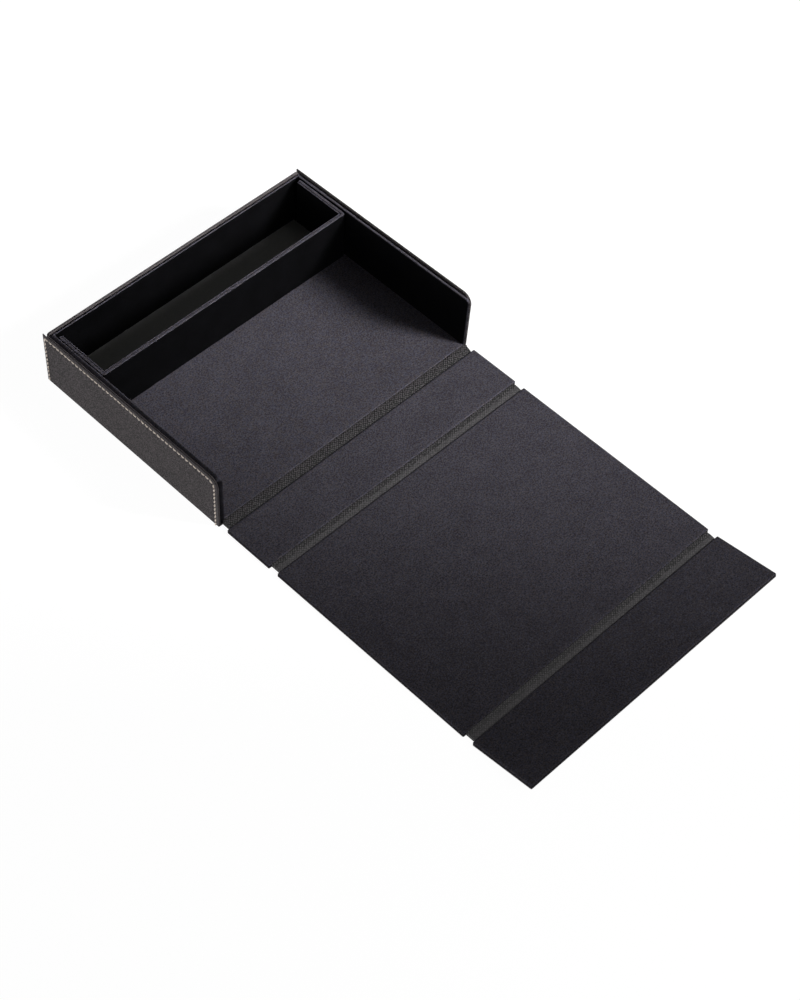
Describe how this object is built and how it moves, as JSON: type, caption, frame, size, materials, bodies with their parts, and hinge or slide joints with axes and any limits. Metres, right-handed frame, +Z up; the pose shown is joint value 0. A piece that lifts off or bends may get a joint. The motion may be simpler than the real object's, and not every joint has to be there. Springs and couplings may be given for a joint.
{
  "type": "dice box",
  "caption": "Wrap-around leather dice box shown open: suede tray with a rear dice compartment and a folding front panel, lid and closing flap.",
  "frame": {"origin": "centre of the tray's underside, where the base leather lies on the table", "axes": "+Z up; +Y from the open front of the tray to its rear wall, so the open cover lies along -Y; +X to the right seen from the front"},
  "size_m": [0.2382, 0.4627, 0.048],
  "materials": {
    "outer_leather": "fine pebble grain, satin",
    "hinge_leather": "coarse grain, satin",
    "suede": "soft brushed nap",
    "greyboard": "uncoated board",
    "matte_card": "smooth matte card",
    "magnet": "nickel plated"
  },
  "bodies": {
    "tray": {"tray_cover": "outer_leather", "rear_cover": "outer_leather", "base_board": "greyboard", "floor_lining": "suede", "left_wall_board": "greyboard", "left_wall_lining": "suede", "right_wall_board": "greyboard", "right_wall_lining": "suede", "rear_wall_board": "greyboard", "rear_wall_lining": "suede", "rear_magnets": "magnet", "divider_board": "greyboard", "divider_wrap": "suede", "divider_front_liner": "suede", "divider_left_liner": "suede", "divider_right_liner": "suede", "compartment_floor": "matte_card", "front_hinge_cover": "outer_leather", "front_hinge_lining": "hinge_leather"},
    "front_panel": {"front_panel_cover": "outer_leather", "front_panel_board": "greyboard", "front_panel_lining": "suede", "lid_hinge_cover": "outer_leather", "lid_hinge_lining": "hinge_leather"},
    "lid": {"lid_cover": "outer_leather", "lid_board": "greyboard", "lid_lining": "suede", "flap_hinge_cover": "outer_leather", "flap_hinge_lining": "hinge_leather"},
    "flap": {"flap_cover": "outer_leather", "flap_board": "greyboard", "flap_lining": "suede", "flap_magnets": "magnet"}
  },
  "joints": [
    {"name": "front_panel_fold", "type": "hinge", "parent": "tray", "child": "front_panel", "pos_m": [0, -0.0909, 0.0008], "axis": [-1, 0, 0], "range_deg": [0, 90], "deforming": ["front_hinge_cover", "front_hinge_lining"]},
    {"name": "lid_fold", "type": "hinge", "parent": "front_panel", "child": "lid", "pos_m": [0, -0.14015, 0.00155], "axis": [-1, 0, 0], "range_deg": [0, 90], "deforming": ["lid_hinge_cover", "lid_hinge_lining"]},
    {"name": "flap_fold", "type": "hinge", "parent": "lid", "child": "flap", "pos_m": [0, -0.322, 0], "axis": [-1, 0, 0], "range_deg": [-8.1, 81.9], "deforming": ["flap_hinge_cover", "flap_hinge_lining"]}
  ]
}
